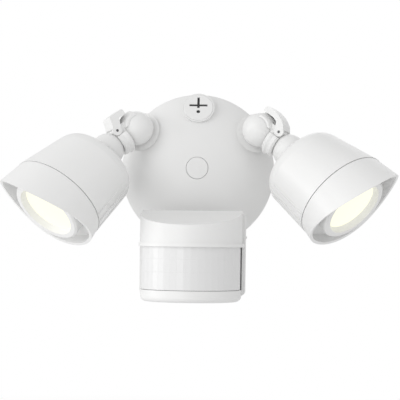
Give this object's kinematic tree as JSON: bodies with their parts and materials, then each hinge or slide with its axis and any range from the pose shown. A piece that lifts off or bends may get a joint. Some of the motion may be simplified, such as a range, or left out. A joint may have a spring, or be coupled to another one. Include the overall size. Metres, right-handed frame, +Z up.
{
  "type": "motion sensor security light",
  "caption": "Wall light with a round domed canopy, hooded lamp heads on double-ball knuckles and a wide motion sensor head with a curved segmented window.",
  "frame": {"origin": "middle of the canopy on the wall's face, at the centre hole of the mounting crossbar", "axes": "+X to the viewer's right along the wall, +Z up, -Y out of the wall toward the viewer"},
  "size_m": [0.3177, 0.1248, 0.1751],
  "materials": {
    "white_shell": "fine satin moulding",
    "white_lamp": "fine satin coating",
    "lit_lens": "frosted, lit warm white",
    "window_milky": "milky, satin",
    "zinc_steel": "zinc plated",
    "foam_rubber": "matte foam",
    "black_plastic": "satin",
    "grey_plastic": "satin",
    "reflector_silver": "vacuum metallised",
    "light_source": "lit light source on a white board",
    "spreader_aluminium": "plain rolled",
    "board_green": "coated circuit board",
    "detector_can": "bright can",
    "cell_amber": "clear-coated"
  },
  "bodies": {
    "canopy": {"canopy_cover": "white_shell", "canopy_gasket": "foam_rubber", "mounting_bracket": "zinc_steel", "centre_screw": "zinc_steel", "centre_plug": "white_shell", "blanking_cap": "white_shell", "blanking_nut": "zinc_steel", "driver_box": "black_plastic", "terminal_block": "grey_plastic", "standoff_screws": "zinc_steel", "sensor_mount": "white_shell", "mount_nut": "zinc_steel"},
    "swivel_left": {"swivel_ball_left": "white_lamp", "swivel_nut_left": "zinc_steel"},
    "clamp_left": {"clamp_body_left": "white_lamp", "lever_pin_left": "black_plastic"},
    "lever_left": {"clamp_lever_left": "white_lamp"},
    "neck_left": {"neck_ball_left": "white_lamp", "neck_nut_left": "zinc_steel"},
    "lamp_left": {"lamp_housing_left": "white_lamp", "lamp_visor_left": "white_lamp", "visor_screws_left": "zinc_steel", "lens_bezel_left": "white_lamp", "lamp_lens_left": "lit_lens", "lens_gasket_left": "foam_rubber", "reflector_left": "reflector_silver", "led_board_left": "light_source", "heat_spreader_left": "spreader_aluminium"},
    "swivel_right": {"swivel_ball_right": "white_lamp", "swivel_nut_right": "zinc_steel"},
    "clamp_right": {"clamp_body_right": "white_lamp", "lever_pin_right": "black_plastic"},
    "lever_right": {"clamp_lever_right": "white_lamp"},
    "neck_right": {"neck_ball_right": "white_lamp", "neck_nut_right": "zinc_steel"},
    "lamp_right": {"lamp_housing_right": "white_lamp", "lamp_visor_right": "white_lamp", "visor_screws_right": "zinc_steel", "lens_bezel_right": "white_lamp", "lamp_lens_right": "lit_lens", "lens_gasket_right": "foam_rubber", "reflector_right": "reflector_silver", "led_board_right": "light_source", "heat_spreader_right": "spreader_aluminium"},
    "sensor_bracket": {"sensor_yoke": "white_shell", "pan_pin": "zinc_steel"},
    "sensor_head": {"tilt_pin": "zinc_steel", "sensor_rear_cover": "white_shell", "sensor_hood": "white_shell", "sensor_lens": "window_milky", "sensor_base": "white_shell", "sensor_board": "board_green", "pir_detector": "detector_can", "light_cell": "cell_amber", "relay": "grey_plastic", "cover_screws": "zinc_steel"},
    "time_knob": {"time_knob": "grey_plastic"},
    "range_knob": {"range_knob": "grey_plastic"},
    "mode_switch": {"mode_switch": "grey_plastic"}
  },
  "joints": [
    {"name": "arm_swivel_left", "type": "hinge", "parent": "canopy", "child": "swivel_left", "pos_m": [-0.0515, -0.0285, 0.033], "axis": [0.3017, 0.9336, -0.1933], "range_deg": [-15, 90]},
    {"name": "arm_tilt_left", "type": "hinge", "parent": "swivel_left", "child": "clamp_left", "pos_m": [-0.0515, -0.0285, 0.033], "axis": [0.7002, -0.3546, -0.6196], "range_deg": [-60, 8]},
    {"name": "lever_lift_left", "type": "hinge", "parent": "clamp_left", "child": "lever_left", "pos_m": [-0.06966, -0.03643, 0.02856], "axis": [0.3854, -0.9203, 0.0669], "range_deg": [0, 35]},
    {"name": "neck_nod_left", "type": "hinge", "parent": "clamp_left", "child": "neck_left", "pos_m": [-0.07435, -0.03949, 0.01347], "axis": [-0.1741, -0.7571, 0.6297], "range_deg": [-35, 24]},
    {"name": "lamp_roll_left", "type": "hinge", "parent": "neck_left", "child": "lamp_left", "pos_m": [-0.07435, -0.03949, 0.01347], "axis": [-0.5059, -0.4799, -0.7168], "range_deg": [-60, 60]},
    {"name": "arm_swivel_right", "type": "hinge", "parent": "canopy", "child": "swivel_right", "pos_m": [0.0515, -0.0285, 0.033], "axis": [0.3017, -0.9336, 0.1933], "range_deg": [-20, 90]},
    {"name": "arm_tilt_right", "type": "hinge", "parent": "swivel_right", "child": "clamp_right", "pos_m": [0.0515, -0.0285, 0.033], "axis": [0.6356, 0.3481, 0.6891], "range_deg": [-60, 8]},
    {"name": "lever_lift_right", "type": "hinge", "parent": "clamp_right", "child": "lever_right", "pos_m": [0.07035, -0.03529, 0.02967], "axis": [0.3351, 0.9419, -0.0239], "range_deg": [0, 35]},
    {"name": "neck_nod_right", "type": "hinge", "parent": "clamp_right", "child": "neck_right", "pos_m": [0.07621, -0.03775, 0.01489], "axis": [-0.2519, 0.6785, -0.69], "range_deg": [-35, 30]},
    {"name": "lamp_roll_right", "type": "hinge", "parent": "neck_right", "child": "lamp_right", "pos_m": [0.07621, -0.03775, 0.01489], "axis": [0.588, -0.459, -0.666], "range_deg": [-60, 60]},
    {"name": "sensor_pan", "type": "hinge", "parent": "canopy", "child": "sensor_bracket", "pos_m": [0, -0.038, -0.051], "axis": [0, 0, 1], "range_deg": [-35, 35]},
    {"name": "sensor_tilt", "type": "hinge", "parent": "sensor_bracket", "child": "sensor_head", "pos_m": [-0.00133, -0.05695, -0.051], "axis": [0.9976, -0.0698, 0], "range_deg": [-12, 12]},
    {"name": "time_knob_turn", "type": "hinge", "parent": "sensor_head", "child": "time_knob", "pos_m": [-0.01652, -0.08795, -0.10977], "axis": [-0.0012, -0.0174, 0.9998], "range_deg": [0, 270]},
    {"name": "range_knob_turn", "type": "hinge", "parent": "sensor_head", "child": "range_knob", "pos_m": [0.00941, -0.08976, -0.10977], "axis": [-0.0012, -0.0174, 0.9998], "range_deg": [0, 270]},
    {"name": "mode_slide", "type": "slide", "parent": "sensor_head", "child": "mode_switch", "axis": [0.9976, -0.0698, 0], "range_m": [0, 0.006]}
  ]
}
